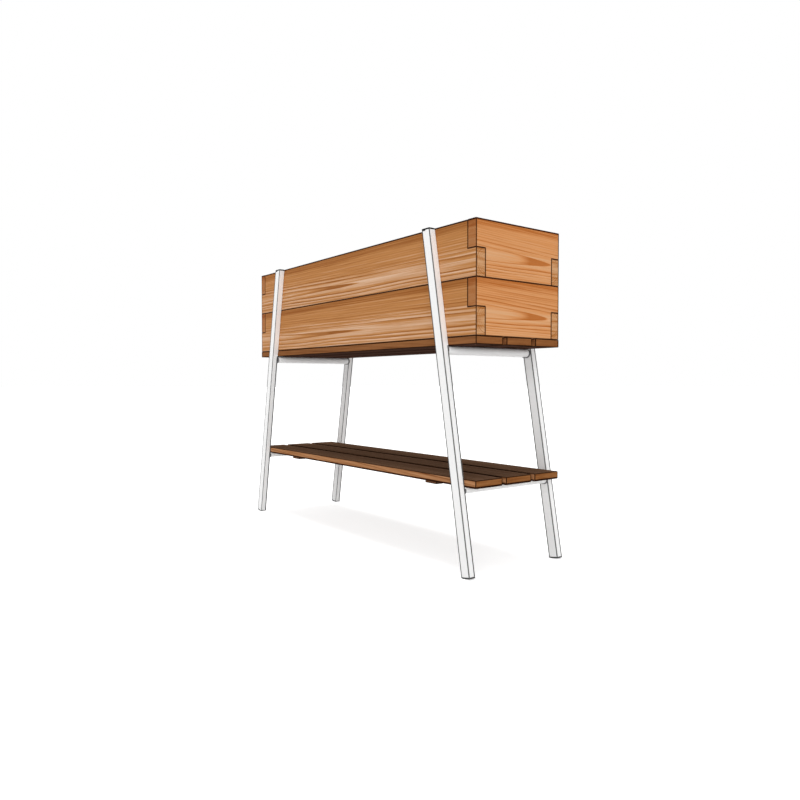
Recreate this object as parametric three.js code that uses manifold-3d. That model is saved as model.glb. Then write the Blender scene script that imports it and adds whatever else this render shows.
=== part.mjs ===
// Raised planter on legs. A box of two board tiers, half-lapped at the corners, stands on a slatted
// base. Two steel end frames carry it: each has a front and a rear leg that lean outwards, an upper
// crossbar under the base and a lower crossbar under a slatted shelf.
//
// Millimetres, +Z up. The origin is on the floor under the middle of the box, +X runs along the
// box to the right, and +Y runs to the rear.
import * as THREE from "three";
import { mergeVertices } from "three/addons/utils/BufferGeometryUtils.js";
import Module from "manifold-3d";

// Places, which also give the number of tiers, slats and legs
const tiers = ["lower", "upper"];
const rows = ["front", "middle", "rear"];
const ends = [{ name: "left", x: -1 }, { name: "right", x: 1 }];
const faces = [{ name: "front", y: -1 }, { name: "rear", y: 1 }];

// Box
const boxLength = 1140;
const boxWidth = 300;
const tierHeight = 140;
const boardThickness = 30;
const edgeEase = 1.5; // rounding of the sawn edges
const fit = 0.3; // gap between two pieces that rest on, or pass through, each other

// Slatted base and shelf, both flush with the box all round
const baseUnderside = 565;
const baseThickness = 20;
const shelfUnderside = 217;
const shelfThickness = 20;
const slatGap = 15;

// Battens that tie the shelf slats together from below
const battenWidth = 45;
const battenThickness = 12;
const battenRecess = 30; // from the shelf's long edges
const battenSetIn = 152; // from the lower crossbar's centre to the batten's

// Leg tube, leaning in the plane of the box's long face
const legLean = THREE.MathUtils.degToRad(10);
const legWidth = 30;
const legDepth = 20;
const legCorner = 2;
const legWall = 1.5;
const legTopInset = 151; // from the box's end to the leg's outer edge, at the rim

// Crossbar, a flat-sided oval tube
const barWidth = 30;
const barHeight = 22;
const barWall = 1.5;
const upperBarInset = 4; // inboard of the legs' centreline
const shelfHousing = 5; // how deep the shelf slats are cut over the lower crossbars

// Plastic inserts in the leg ends
const capFlange = 4;
const footFlange = 4;
const soleWidth = 10; // level part of the foot, along X
const plugLength = 18;
const plugWall = 2;
const finDepth = 1.5;
const finThickness = 1.2;
const finCount = 3;

// Dowels that pin the laps of both tiers to the base
const dowelDiameter = 10;
const dowelSeat = 10; // into the base slat
const dowelCover = 25; // wood left over the dowel at the rim
const dowelChamfer = 1;

// Bolts from inside the box into threaded inserts in the legs, one in each tier
const boltDiameter = 6;
const boltReach = 7; // of the shank, past the leg's inner wall
const boltChamfer = 1;
const headDiameter = 10.5;
const headHeight = 3.3;
const washerDiameter = 14;
const washerThickness = 1.2;
const socketWidth = 4; // across the flats
const socketDepth = 2;
const headSinking = 6; // counterbore in the board's inner face
const sleeveWall = 1.4; // of the threaded insert
const insertCollar = 12; // outer diameter of its flange and of its upset bulge
const collarThickness = 1;
const bulgeThickness = 2.5;

// Liner of felted fleece, standing in the box
const linerThickness = 2;
const linerGap = 0.5; // to the boards
const linerCorner = 12;
const linerBelowRim = 20;

// Facets of a full round, and of a quarter round at a small corner and at the crossbar's sides
const boreFacets = 16;
const fixingFacets = 12;
const cornerFacets = 3;
const ovalFacets = 6;

// Heights and spans that follow
const baseTop = baseUnderside + baseThickness;
const rimHeight = baseTop + tiers.length * tierHeight;
const slatWidth = (boxWidth - (rows.length - 1) * slatGap) / rows.length;
const lapDepth = boardThickness + fit;
const innerLength = boxLength - 2 * boardThickness;
const innerWidth = boxWidth - 2 * boardThickness;
const legFaceY = boxWidth / 2 + fit; // the leg's inner face
const legAxisY = legFaceY + legDepth / 2;
const dowelX = (boxLength - boardThickness) / 2;
const dowelY = (boxWidth - boardThickness) / 2;
const boreWidth = legWidth - 2 * legWall;
const boreDepth = legDepth - 2 * legWall;
const sleeveDiameter = boltDiameter + 2 * fit + 2 * sleeveWall;

const wood = material(0xb5683a, 0.62, 0);
const slatWood = material(0x9c5d38, 0.7, 0);
const whiteSteel = material(0xf4f4f2, 0.38, 0.1);
const whitePlastic = material(0xeeeeec, 0.5, 0);
const blackPlastic = material(0x17181a, 0.5, 0);
const fleece = material(0x26282a, 0.95, 0);
const zinc = material(0xb4b6b8, 0.35, 0.9);
const beech = material(0xd9b88a, 0.7, 0);

const wasm = await Module();
wasm.setup();

function material(color, roughness, metalness) {
  return new THREE.MeshStandardMaterial({ color, roughness, metalness });
}

// --- Solids ---------------------------------------------------------------------------------

// A closed three.js geometry as a solid that can be joined and cut.
function solid(geometry) {
  const bare = geometry.clone();
  bare.deleteAttribute("normal");
  bare.deleteAttribute("uv");
  const merged = mergeVertices(bare, 1e-4);
  return new wasm.Manifold(new wasm.Mesh({
    numProp: 3,
    vertProperties: new Float32Array(merged.attributes.position.array),
    triVerts: new Uint32Array(merged.index.array),
  }));
}

function geometryOf(body) {
  const mesh = body.getMesh();
  const geometry = new THREE.BufferGeometry();
  geometry.setAttribute("position", new THREE.BufferAttribute(mesh.vertProperties, 3));
  geometry.setIndex(new THREE.BufferAttribute(mesh.triVerts, 1));
  geometry.computeVertexNormals();
  return geometry;
}

// The outline of a rectangle with rounded corners. With a radius of half the height it is a
// flat-sided oval.
function roundedRect(width, height, radius, facets = cornerFacets) {
  const points = [];
  for (let quarter = 0; quarter < 4; quarter += 1) {
    const middle = (quarter + 0.5) * Math.PI / 2;
    const x = Math.sign(Math.cos(middle)) * (width / 2 - radius);
    const y = Math.sign(Math.sin(middle)) * (height / 2 - radius);
    for (let step = 0; step <= facets; step += 1) {
      const angle = (quarter + step / facets) * Math.PI / 2;
      const point = new THREE.Vector2(x + radius * Math.cos(angle), y + radius * Math.sin(angle));
      const last = points.at(-1);
      if (!last || last.distanceTo(point) > 1e-3) points.push(point);
    }
  }
  if (points[0].distanceTo(points.at(-1)) < 1e-3) points.pop();
  return points;
}

function rectangle(width, height) {
  const [x, y] = [width / 2, height / 2];
  return [[-x, -y], [x, -y], [x, y], [-x, y]].map(([a, b]) => new THREE.Vector2(a, b));
}

// A prism over an outline, from z = 0 up to its length.
function prism(outline, length) {
  return new THREE.ExtrudeGeometry(new THREE.Shape(outline), { depth: length, bevelEnabled: false });
}

// A tube along z, from z = 0, with a wall inside its outline of width by height.
function tube(width, height, radius, wall, length, facets) {
  const [boreW, boreH] = [width - 2 * wall, height - 2 * wall];
  const shape = new THREE.Shape(roundedRect(width, height, radius, facets));
  shape.holes.push(new THREE.Path(roundedRect(boreW, boreH, radius - wall, facets)));
  return new THREE.ExtrudeGeometry(shape, { depth: length, bevelEnabled: false });
}

// Sawn timber over an outline, thickness along z about z = 0, with its face edges eased.
function plank(outline, thickness, ease = edgeEase) {
  const depth = thickness - 2 * ease;
  const geometry = new THREE.ExtrudeGeometry(new THREE.Shape(outline), {
    depth,
    bevelSize: ease,
    bevelOffset: -ease,
    bevelThickness: ease,
    bevelSegments: 2,
  });
  return geometry.translate(0, 0, -depth / 2);
}

// A round form along y: radii and heights of its half section, from the axis out and back.
function turned(section, facets) {
  return new THREE.LatheGeometry(section.map(([r, y]) => new THREE.Vector2(r, y)), facets);
}

function cylinder(diameter, length, facets) {
  return new THREE.CylinderGeometry(diameter / 2, diameter / 2, length, facets);
}

// --- Boards, slats and dowels ---------------------------------------------------------------

const boardHeight = tierHeight - fit;

// The outline of a board with half of its height lapped back at both ends.
function lappedOutline(length, lappedHalf) {
  const upperLapped = lappedHalf === "upper";
  const low = length / 2 - (upperLapped ? 0 : lapDepth);
  const high = length / 2 - (upperLapped ? lapDepth : 0);
  const shoulder = boardHeight / 2 + (upperLapped ? -fit / 2 : fit / 2);
  return [
    [-low, 0], [low, 0], [low, shoulder], [high, shoulder],
    [high, boardHeight], [-high, boardHeight], [-high, shoulder], [-low, shoulder],
  ].map(([x, y]) => new THREE.Vector2(x, y));
}

// The bore for a corner dowel, as deep as the dowel and its clearance, at one corner.
function dowelBore(end, face) {
  const bottom = baseTop - dowelSeat - fit;
  const top = rimHeight - dowelCover + fit;
  return solid(cylinder(dowelDiameter + 2 * fit, top - bottom, boreFacets).rotateX(Math.PI / 2)
    .translate(end.x * dowelX, face.y * dowelY, (bottom + top) / 2));
}

// The hole for a leg bolt through a long board: the shank's hole, the sinking for its head on the
// inner face and the shallow one for the insert's collar under the leg.
function boltHole(end, face, tier) {
  const outer = boxWidth / 2;
  const inner = outer - boardThickness;
  const sinkings = [
    [boltDiameter + 2 * fit, inner - 1, outer + 1],
    [washerDiameter + 2, inner - 1, inner + headSinking],
    [insertCollar + 1, outer - collarThickness - fit, outer + 1],
  ];
  return sinkings.map(([diameter, from, to]) => solid(cylinder(diameter, to - from, fixingFacets)
    .translate(end.x * legAxisX(boltZ(tier)), face.y * (from + to) / 2, boltZ(tier))));
}

// The height of a tier's leg bolts, at the middle of its boards.
function boltZ(tier) {
  return baseTop + (tier + 0.5) * tierHeight;
}

// A long board of a tier: its upper half is lapped, so its lower fingers reach the box's ends.
function longBoard(tier, face) {
  let board = solid(plank(lappedOutline(boxLength, "upper"), boardThickness).rotateX(Math.PI / 2)
    .translate(0, face.y * dowelY, baseTop + tier * tierHeight + fit));
  for (const end of ends) {
    for (const hole of [dowelBore(end, face), ...boltHole(end, face, tier)]) {
      board = board.subtract(hole);
    }
  }
  return geometryOf(board);
}

// An end board of a tier: its lower half is lapped, so its upper fingers reach the long faces.
function endBoard(tier, end) {
  let board = solid(plank(lappedOutline(boxWidth, "lower"), boardThickness).rotateX(Math.PI / 2)
    .rotateZ(Math.PI / 2).translate(end.x * dowelX, 0, baseTop + tier * tierHeight + fit));
  for (const face of faces) board = board.subtract(dowelBore(end, face));
  return geometryOf(board);
}

// The middle of a row of slats across the box. Row 0 is the front one.
function slatY(row) {
  return (row - (rows.length - 1) / 2) * (slatWidth + slatGap);
}

function baseSlat(row) {
  let slat = solid(plank(rectangle(boxLength, slatWidth), baseThickness)
    .translate(0, slatY(row), baseUnderside + baseThickness / 2));
  for (const end of ends) {
    for (const face of faces) slat = slat.subtract(dowelBore(end, face));
  }
  return geometryOf(slat);
}

// A shelf slat, cut out below to the section of the lower crossbars that it rests on.
function shelfSlat(row) {
  let slat = solid(plank(rectangle(boxLength, slatWidth), shelfThickness)
    .translate(0, slatY(row), shelfUnderside + shelfThickness / 2));
  for (const end of ends) {
    const section = roundedRect(barWidth + 2 * fit, barHeight + 2 * fit, barHeight / 2 + fit,
      ovalFacets);
    slat = slat.subtract(solid(alongY(prism(section, 2 * boxWidth), 2 * boxWidth)
      .translate(end.x * lowerBar.x, 0, lowerBar.z)));
  }
  return geometryOf(slat);
}

function dowel() {
  const half = (rimHeight - dowelCover - baseTop + dowelSeat) / 2;
  const radius = dowelDiameter / 2;
  const section = [[0, -half], [radius - dowelChamfer, -half], [radius, dowelChamfer - half],
    [radius, half - dowelChamfer], [radius - dowelChamfer, half], [0, half]];
  return turned(section, boreFacets).rotateX(Math.PI / 2);
}

// --- End frames -----------------------------------------------------------------------------

// The distance of the leg's axis from the middle of the box, at a height.
function legAxisX(z) {
  const outerAtRim = boxLength / 2 - legTopInset;
  return outerAtRim - legWidth / 2 / Math.cos(legLean) + (rimHeight - z) * Math.tan(legLean);
}

// Turns a form made along z, from z = 0, to lie along y about y = 0.
function alongY(geometry, length) {
  return geometry.translate(0, 0, -length / 2).rotateX(Math.PI / 2);
}

function barAt(topZ, inset) {
  const z = topZ - fit - barHeight / 2;
  return { x: legAxisX(z) - inset, z };
}

const upperBar = barAt(baseUnderside, upperBarInset);
const lowerBar = barAt(shelfUnderside + shelfHousing, 0);

// The leg's own frame: z along its axis, x across its leaning face, and the origin where the axis
// meets the floor. A level plane at a height cuts the axis at height / cos(lean).
function onAxis(height) {
  return height / Math.cos(legLean);
}

// A block in the leg's frame whose level face lies at a height, reaching up or down from it.
function levelBlock(height, end, direction) {
  const size = 4 * legWidth;
  return solid(new THREE.BoxGeometry(size, size, size).translate(0, 0, direction * size / 2)
    .rotateY(end.x * legLean).translate(0, 0, onAxis(height)));
}

// The foot's underside, square to the leg, lies this far up the axis, so that the level floor
// takes off its inner corner over the sole's width.
const soleLift = (legWidth / 2 - soleWidth) * Math.tan(legLean);

// A leg: a tube cut square at the foot and level at the rim, with holes for the inserts in the
// wall that faces the box.
function leg(end, face) {
  const bottom = soleLift + footFlange + fit;
  let body = solid(tube(legWidth, legDepth, legCorner, legWall, onAxis(rimHeight + legWidth) - bottom)
    .translate(0, 0, bottom));
  body = body.subtract(levelBlock(rimHeight - capFlange - fit, end, 1));
  tiers.forEach((_, tier) => {
    const hole = cylinder(sleeveDiameter + 2 * fit, 4 * legWall, fixingFacets)
      .translate(0, -face.y * legDepth / 2, onAxis(boltZ(tier)));
    body = body.subtract(solid(hole));
  });
  return geometryOf(body);
}

// The finned plug of an insert, from z = 0 down into the tube and hollow from its free end. Its
// body rises past z = 0 into the flange.
function plug(rise) {
  const width = boreWidth - 2 * fit;
  const depth = boreDepth - 2 * fit;
  const corner = legCorner - legWall;
  const section = (inwards) => roundedRect(width - 2 * inwards, depth - 2 * inwards, corner, 1);
  let body = solid(prism(section(finDepth), plugLength + rise).translate(0, 0, -plugLength));
  for (let fin = 0; fin < finCount; fin += 1) {
    const z = -plugLength + (fin + 0.5) * plugLength / finCount;
    body = body.add(solid(prism(section(0), finThickness).translate(0, 0, z)));
  }
  const hollow = prism(section(finDepth + plugWall), plugLength).translate(0, 0, -plugLength - plugWall);
  return body.subtract(solid(hollow));
}

// A cap: a level flange over the leg's mitred end, with its plug along the leg from just below
// the mitre's lowest edge.
function cap(end) {
  const flange = plank(roundedRect(legWidth / Math.cos(legLean), legDepth, legCorner), capFlange,
    capFlange / 4).rotateY(end.x * legLean).translate(0, 0, onAxis(rimHeight - capFlange / 2));
  const mitreDrop = legWidth / 2 * Math.tan(legLean);
  const stem = plug(2 * mitreDrop + capFlange)
    .translate([0, 0, onAxis(rimHeight - capFlange) - mitreDrop])
    .subtract(levelBlock(rimHeight - capFlange / 2, end, 1));
  return geometryOf(solid(flange).add(stem));
}

// A foot: a flange square to the leg, taken off level where it meets the floor, and its plug.
function foot(end) {
  const flange = prism(roundedRect(legWidth, legDepth, legCorner), footFlange)
    .translate(0, 0, soleLift);
  const stem = plug(footFlange / 2).rotate([180, 0, 0]).translate([0, 0, soleLift + footFlange]);
  return geometryOf(solid(flange).add(stem).subtract(levelBlock(0, end, -1)));
}

// --- Leg fixings ----------------------------------------------------------------------------

// A bolt along y, for the rear face: its head in the sinking and its shank out into the leg.
function legBolt() {
  const seat = boxWidth / 2 - boardThickness + headSinking - fit;
  const washer = seat - washerThickness;
  const crown = washer - headHeight;
  const tip = legFaceY + legWall + boltReach;
  const radius = boltDiameter / 2;
  const section = [[0, crown], [headDiameter / 2 - boltChamfer, crown],
    [headDiameter / 2, crown + headHeight / 2], [headDiameter / 2, washer],
    [washerDiameter / 2, washer], [washerDiameter / 2, seat], [radius, seat],
    [radius, tip - boltChamfer], [radius - boltChamfer, tip], [0, tip]];
  const socket = new THREE.CylinderGeometry(socketWidth / Math.sqrt(3), socketWidth / Math.sqrt(3),
    2 * socketDepth, 6).translate(0, crown, 0);
  return geometryOf(solid(turned(section, fixingFacets)).subtract(solid(socket)));
}

// A threaded insert along y, for the rear face: its collar lies between the board and the leg, and
// its bulge grips the leg's wall from inside.
function threadedInsert() {
  const bore = boltDiameter / 2 + fit;
  const sleeve = sleeveDiameter / 2;
  const collar = insertCollar / 2;
  const outer = boxWidth / 2;
  const grip = legFaceY + legWall + fit;
  const tip = legFaceY + legWall + boltReach - 1;
  const section = [[bore, outer - collarThickness], [collar, outer - collarThickness],
    [collar, outer], [sleeve, outer], [sleeve, grip], [collar, grip],
    [sleeve, grip + bulgeThickness], [sleeve, tip], [bore, tip], [bore, outer - collarThickness]];
  return turned(section, fixingFacets);
}

// --- Liner ----------------------------------------------------------------------------------

function liner() {
  const length = innerLength - 2 * linerGap;
  const width = innerWidth - 2 * linerGap;
  const bottom = baseTop + fit;
  const height = rimHeight - linerBelowRim - bottom;
  const outside = solid(prism(roundedRect(length, width, linerCorner), height));
  const inside = solid(prism(roundedRect(length - 2 * linerThickness, width - 2 * linerThickness,
    linerCorner - linerThickness), height).translate(0, 0, linerThickness));
  return geometryOf(outside.subtract(inside).translate([0, 0, bottom]));
}

// --- Assembly -------------------------------------------------------------------------------

const planter = new THREE.Group();

function piece(parent, name, geometry, look) {
  const mesh = new THREE.Mesh(geometry, look);
  mesh.name = name;
  parent.add(mesh);
  return mesh;
}

tiers.forEach((tierName, tier) => {
  for (const face of faces) piece(planter, `${tierName}_${face.name}_board`, longBoard(tier, face), wood);
  for (const end of ends) piece(planter, `${tierName}_${end.name}_end_board`, endBoard(tier, end), wood);
});

rows.forEach((rowName, row) => {
  piece(planter, `base_slat_${rowName}`, baseSlat(row), slatWood);
  piece(planter, `shelf_slat_${rowName}`, shelfSlat(row), slatWood);
});

for (const end of ends) {
  const batten = piece(planter, `shelf_batten_${end.name}`,
    plank(rectangle(battenWidth, boxWidth - 2 * battenRecess), battenThickness), slatWood);
  batten.position.set(end.x * (lowerBar.x - battenSetIn), 0, shelfUnderside - fit - battenThickness / 2);

  for (const [barName, bar] of [["upper", upperBar], ["lower", lowerBar]]) {
    const crossbar = piece(planter, `${barName}_crossbar_${end.name}`,
      alongY(tube(barWidth, barHeight, barHeight / 2, barWall, boxWidth, ovalFacets), boxWidth),
      whiteSteel);
    crossbar.position.set(end.x * bar.x, 0, bar.z);
  }

  for (const face of faces) {
    const corner = `${face.name}_${end.name}`;
    const legFrame = new THREE.Group();
    legFrame.position.set(end.x * legAxisX(0), face.y * legAxisY, 0);
    legFrame.rotation.y = -end.x * legLean;
    planter.add(legFrame);
    piece(legFrame, `leg_${corner}`, leg(end, face), whiteSteel);
    piece(legFrame, `leg_cap_${corner}`, cap(end), blackPlastic);
    piece(legFrame, `foot_${corner}`, foot(end), whitePlastic);

    const pin = piece(planter, `corner_dowel_${corner}`, dowel(), beech);
    pin.position.set(end.x * dowelX, face.y * dowelY,
      (baseTop - dowelSeat + rimHeight - dowelCover) / 2);

    tiers.forEach((tierName, tier) => {
      const bolt = piece(planter, `leg_bolt_${tierName}_${corner}`, legBolt(), zinc);
      const insert = piece(planter, `leg_insert_${tierName}_${corner}`, threadedInsert(), zinc);
      for (const fixing of [bolt, insert]) {
        fixing.position.set(end.x * legAxisX(boltZ(tier)), 0, boltZ(tier));
        fixing.rotation.z = face.y > 0 ? 0 : Math.PI;
      }
    });
  }
}

piece(planter, "liner", liner(), fleece);

export default planter;
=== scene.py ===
"""Raised planter on legs: the finish of every surface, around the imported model.

A box of two board tiers stands on a slatted base in two white steel end frames, over a slatted
shelf. Metres, +Z up, the origin on the floor under the middle of the box, +X along it to the right
and +Y to the rear. The rigid nodes keep their shape and get their finish here. The liner is made
again as sewn fleece, and the welds, screws and staples are added.
"""
import math

import bmesh
import bpy
import numpy as np
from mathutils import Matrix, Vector


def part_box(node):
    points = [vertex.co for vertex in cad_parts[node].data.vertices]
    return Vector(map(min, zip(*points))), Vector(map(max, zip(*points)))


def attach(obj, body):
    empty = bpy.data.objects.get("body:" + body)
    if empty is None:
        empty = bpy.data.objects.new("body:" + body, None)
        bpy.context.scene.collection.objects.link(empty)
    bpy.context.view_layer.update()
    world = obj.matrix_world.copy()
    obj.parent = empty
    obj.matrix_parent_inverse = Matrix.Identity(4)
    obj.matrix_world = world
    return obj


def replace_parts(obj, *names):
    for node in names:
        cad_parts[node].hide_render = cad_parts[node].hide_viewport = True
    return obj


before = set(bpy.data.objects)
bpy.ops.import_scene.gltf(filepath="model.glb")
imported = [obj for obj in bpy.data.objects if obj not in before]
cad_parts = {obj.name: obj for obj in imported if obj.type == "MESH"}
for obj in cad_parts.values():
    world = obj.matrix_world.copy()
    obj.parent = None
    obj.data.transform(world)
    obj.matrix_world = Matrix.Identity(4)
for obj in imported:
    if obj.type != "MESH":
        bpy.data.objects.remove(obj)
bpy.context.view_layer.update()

ends = {"left": -1, "right": 1}
faces = {"front": -1, "rear": 1}
tiers = ("lower", "upper")
bars = ("upper", "lower")
rows = ("front", "middle", "rear")

# The leg tube, which leans in the plane of the box's long face
leg_lean = math.radians(10)
leg_width = 0.030
leg_depth = 0.020
leg_corner = 0.002

# How much of the white coat is kept from a tube's corner inwards, over the reach of the wear, on its
# less and its more rubbed corners, and how far up a foot is scuffed
wear_reach = 3 * leg_corner
light_wear = [(0.29, 0.12), (0.36, 1.0)]
heavy_wear = [(0.18, 0.70), (0.25, 0.03), (0.73, 0.03), (0.81, 1.0)]
foot_scuff = 0.0038
scuff_colour = (0.05, 0.05, 0.05)

# The crossbar, a flat-sided oval tube, and its weld to the legs
bar_width = 0.030
bar_height = 0.022
bead_radius = 0.0024
bead_ripple = 0.12
bead_scallops = 30

# Screws: the two kinds of head, their cross recess, and where they sit
pan_radius = 0.0042
pan_height = 0.0022
flat_radius = 0.0045
flat_height = 0.0004
dome_share = 0.92
recess_reach = 0.62
recess_depth = 0.0012
recess_arm = 0.24
batten_screws_apart = 0.022
batten_screws_inset = 0.9
base_screws_apart = 0.044
base_screws_along = 5
base_screws_reach = 0.65

# The liner of sewn fleece, its hem, its stitches and its staples
fleece_thickness = 0.002
fleece_corner = 0.018
fleece_fold = 0.022
rim_steps = 420
fine_rim_steps = 4000
wall_rows = 34
fold_rows = 8
floor_rows = 18
slack_run = 0.07
wall_bulge = 0.0075
floor_ripple = 0.0035
hem_depth = 0.026
hem_proud = 2.1 * fleece_thickness
hem_wander = 0.0012
stitch_length = 0.006
stitch_pitch = 0.009
stitch_radius = 0.0005
stitch_drop = 0.020
stitch_dip = 0.0008
staple_width = 0.011
staple_pitch = 0.095
staple_wire = 0.0007
staple_drop = 0.009
staple_dip = 0.0005

# How near two points are one, and the turns over which an edge of a piece and of a node stays sharp
same_point = 1e-6
piece_crease = 40
node_crease = 50

# The floor's own grey, and the glow that makes it white to the camera and in reflections
floor_reach = 60.0
floor_grey = 0.86
floor_glow = 0.58

# The even light from all round, as it lights the object and as the camera sees it, and the two soft
# lamps: azimuth from the front to the right, elevation and width in degrees, and power
room_light = 0.5
room_white = 1.0
lamps = {"key": (47, 15, 50, 1.4), "top": (-90, 86, 30, 1.35)}

# The camera, which stands to the front right and looks slightly down
camera_place = (1.7516, -1.2823, 0.4735)
camera_dip = 0.0262
camera_heading = 0.9176
camera_lens = 30.71
camera_sensor = 36


# --- Node trees ---

class Look:
    """A procedural material, with one short call for each kind of node that it uses."""

    def __init__(self, name, **shader_values):
        self.material = bpy.data.materials.new(name)
        self.material.use_nodes = True
        self.tree = self.material.node_tree
        self.tree.nodes.clear()
        self.shader = self.add("BsdfPrincipled")
        output = self.add("OutputMaterial")
        self.feed(output.inputs["Surface"], self.shader.outputs["BSDF"])
        for socket, value in shader_values.items():
            self.shader.inputs[socket.replace("_", " ")].default_value = value

    def add(self, kind, **settings):
        """A new shader node with its settings."""
        node = self.tree.nodes.new("ShaderNode" + kind)
        for setting, value in settings.items():
            setattr(node, setting, value)
        return node

    def feed(self, socket, value):
        """Links a socket to an output, or sets its value."""
        if isinstance(value, bpy.types.NodeSocket):
            self.tree.links.new(value, socket)
        else:
            socket.default_value = value

    def fed(self, node, values):
        """A node with its first sockets fed in order."""
        for socket, value in zip(node.inputs, values):
            self.feed(socket, value)
        return node

    def place(self):
        """The point on the surface, in metres."""
        return self.add("TexCoord").outputs["Object"]

    def facing(self):
        """The way that the surface faces."""
        return self.add("TexCoord").outputs["Normal"]

    def maths(self, operation, *values):
        """One operation on numbers."""
        return self.fed(self.add("Math", operation=operation), values).outputs[0]

    def times(self, product, *factors):
        """The product of numbers."""
        for factor in factors:
            product = self.maths("MULTIPLY", product, factor)
        return product

    def vectors(self, operation, *values):
        """One operation on vectors."""
        node = self.fed(self.add("VectorMath", operation=operation), values)
        return node.outputs["Value" if operation in ("LENGTH", "DOT_PRODUCT") else "Vector"]

    def parts(self, vector):
        """A vector's x, y and z."""
        return self.fed(self.add("SeparateXYZ"), [vector]).outputs

    def vector(self, x, y, z):
        """A vector of three numbers."""
        return self.fed(self.add("CombineXYZ"), (x, y, z)).outputs[0]

    def about(self, vector, point, turn):
        """The vector measured from a point, on axes turned by three angles."""
        node = self.add("Mapping", vector_type="TEXTURE")
        return self.fed(node, (vector, point, turn)).outputs[0]

    def noise(self, vector, cells, seed, detail, roughness=0.5, output="Fac"):
        """Noise with so many cells to a metre, on each axis or on all three."""
        each = cells if hasattr(cells, "__len__") else (cells, cells, cells)
        node = self.add("TexNoise", noise_dimensions="4D")
        self.feed(node.inputs["Vector"], self.vectors("MULTIPLY", vector, each))
        for socket, value in (("W", seed), ("Scale", 1.0), ("Detail", detail), ("Roughness", roughness)):
            node.inputs[socket].default_value = value
        return node.outputs[output]

    def ramp(self, factor, stops):
        """A colour from a factor. Each stop is a place and a grey level or a colour."""
        node = self.add("ValToRGB")
        self.feed(node.inputs[0], factor)
        elements = node.color_ramp.elements
        while len(elements) < len(stops):
            elements.new(0.5)
        for element, (position, value) in zip(elements, stops):
            element.position = position
            element.color = (*value, 1) if hasattr(value, "__len__") else (value, value, value, 1)
        return node.outputs["Color"]

    def mottle(self, noise, dark, light):
        """A colour that goes from a dark one to a light one with a noise."""
        return self.ramp(noise, [(0.3, dark), (0.7, light)])

    def mix(self, factor, a, b, blend="MIX"):
        """One colour turned into another, or blended with it, by a factor."""
        node = self.add("Mix", data_type="RGBA", blend_type=blend)
        for socket, value in ((node.inputs[0], factor), (node.inputs[6], a), (node.inputs[7], b)):
            if not isinstance(value, (bpy.types.NodeSocket, float, int)):
                value = (*value, 1)
            self.feed(socket, value)
        return node.outputs[2]

    def dim(self, factor, colour, kept):
        """A colour of which the kept shares of red, green and blue are left, by a factor."""
        return self.mix(factor, colour, self.mix(1.0, colour, kept, "MULTIPLY"))

    def spread(self, value, low, high, to_low=0.0, to_high=1.0):
        """A number that runs from low to high, brought to run between two others and held there."""
        return self.fed(self.add("MapRange"), (value, low, high, to_low, to_high)).outputs[0]

    def ranged(self, noise, to_low, to_high):
        """A noise brought to run between two numbers."""
        return self.spread(noise, 0.3, 0.7, to_low, to_high)

    def edge_gap(self, place, low, high):
        """How far a point on a box is from its nearest edge: the middle one of its distances to the
        box's faces along the three axes."""
        middle, half = (low + high) / 2, (high - low) / 2
        out = self.vectors("ABSOLUTE", self.vectors("SUBTRACT", place, middle))
        x, y, z = self.parts(self.vectors("SUBTRACT", half, out))
        return self.maths("MAXIMUM", self.maths("MINIMUM", x, y),
                          self.maths("MINIMUM", self.maths("MAXIMUM", x, y), z))

    def bump(self, height, distance, strength):
        """Raises the surface by a height, over a distance."""
        node = self.add("Bump")
        node.inputs["Strength"].default_value = strength
        node.inputs["Distance"].default_value = distance
        self.feed(node.inputs["Height"], height)
        self.feed(self.shader.inputs["Normal"], node.outputs[0])

    def colour(self, value):
        """Sets the surface's colour, and keeps it for a later change."""
        self.own_colour = value
        self.feed(self.shader.inputs["Base Color"], value)

    def roughness(self, value):
        """Sets how rough the surface is."""
        self.feed(self.shader.inputs["Roughness"], value)


# --- Timber ---

# The boards' thickness, which is also the length of their laps
board_thickness = 0.030

# What darkens the edges: oil on all of them, which also stands as painted shade in the joints between
# pieces, more of it down from the rim, run-off along the lower edges of the shelf, and hands on the upright
# corners
dark_edge = 0.0023
rim_edge = 0.0026
drip_edge = 0.0032
worn_corner = 0.0045
edge_oil_and_shade = (0.10, 0.075, 0.075)

# Painted shade on the sides of the shelf slats that face each other across the gaps, and where it starts and
# is full, from a slat's end
painted_gap_shade = (0.12, 0.10, 0.10)
unshaded_end = 0.010
shaded_from = 0.022

# Each stain's pale sapwood, its middle tone and its dark late wood in linear light, and what its end grain
# keeps of them, and what its level faces keep where they are darker: painted shade on the tops and
# undersides of slats and battens
stains = {
    "long_board": {"tones": ((0.780, 0.515, 0.345), (0.550, 0.244, 0.078), (0.310, 0.100, 0.018)),
                   "end": (0.87, 0.74, 0.55)},
    "end_board": {"tones": ((0.770, 0.425, 0.215), (0.725, 0.316, 0.114), (0.490, 0.145, 0.024)),
                  "end": (0.60, 0.54, 0.48)},
    "base_slat": {"tones": ((0.340, 0.144, 0.053), (0.253, 0.100, 0.036), (0.127, 0.043, 0.013)),
                  "end": (0.96, 0.90, 0.81), "level": (0.30, 0.38, 0.76)},
    "batten": {"tones": ((0.150, 0.064, 0.026), (0.110, 0.044, 0.017), (0.055, 0.019, 0.007)),
               "end": (1.20, 1.15, 1.05), "level": (0.42, 0.48, 0.66)},
    "shelf_slat": {"tones": ((0.543, 0.275, 0.133), (0.390, 0.172, 0.070), (0.181, 0.060, 0.019)),
                   "end": (0.65, 0.55, 0.40), "level": (0.38, 0.45, 0.61)},
    "beech": {"tones": ((0.640, 0.430, 0.240), (0.580, 0.370, 0.190), (0.480, 0.290, 0.140)),
              "end": (0.80, 0.78, 0.75)},
}

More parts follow.
